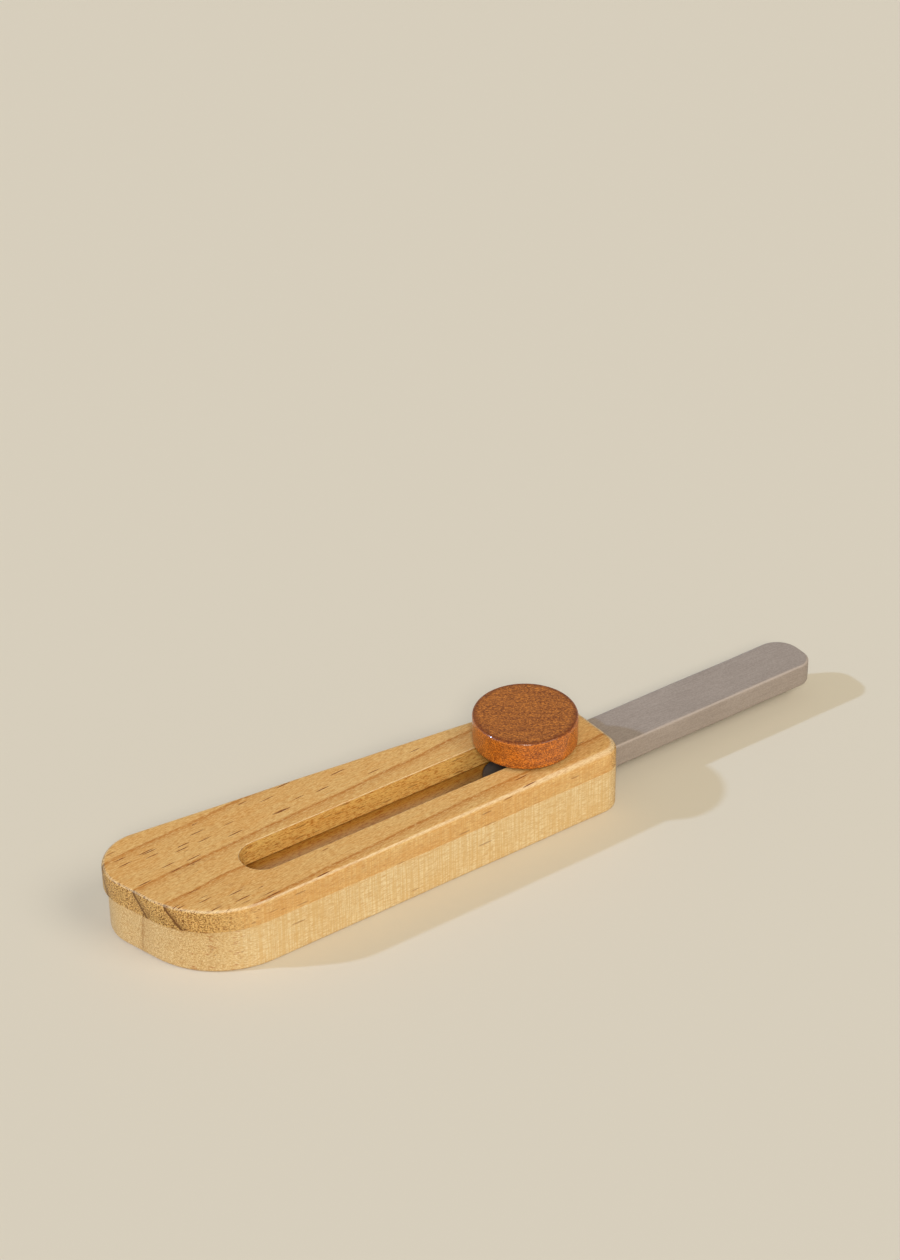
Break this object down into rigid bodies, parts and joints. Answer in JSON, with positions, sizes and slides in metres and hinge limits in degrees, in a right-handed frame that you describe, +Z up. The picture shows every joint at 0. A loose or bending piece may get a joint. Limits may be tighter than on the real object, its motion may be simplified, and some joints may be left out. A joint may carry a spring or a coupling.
{
  "type": "toy retractable knife",
  "caption": "Wooden toy retractable knife: flat tapered two-layer housing with a slot, a round thumb knob and a blunt sliding blade.",
  "frame": {"origin": "on the housing's underside, on the slide axis, half way along the housing", "axes": "+X along the slide axis towards the blade's tip, +Z up out of the housing's top face, +Y towards the tapered side"},
  "size_m": [0.2282, 0.0464, 0.0309],
  "materials": {
    "pine_lower": "clear satin oil on pale pine",
    "pine_upper": "clear satin oil on pine",
    "grey_paint": "satin grey paint on wood",
    "stained_wood": "satin reddish-brown stain"
  },
  "bodies": {
    "housing": {"lower_board": "pine_lower", "upper_board": "pine_upper"},
    "slider": {"blade": "grey_paint", "slide_peg": "grey_paint", "knob": "stained_wood"}
  },
  "joints": [
    {"name": "blade_slide", "type": "slide", "parent": "housing", "child": "slider", "axis": [1, 0, 0], "range_m": [-0.088, 0]}
  ]
}
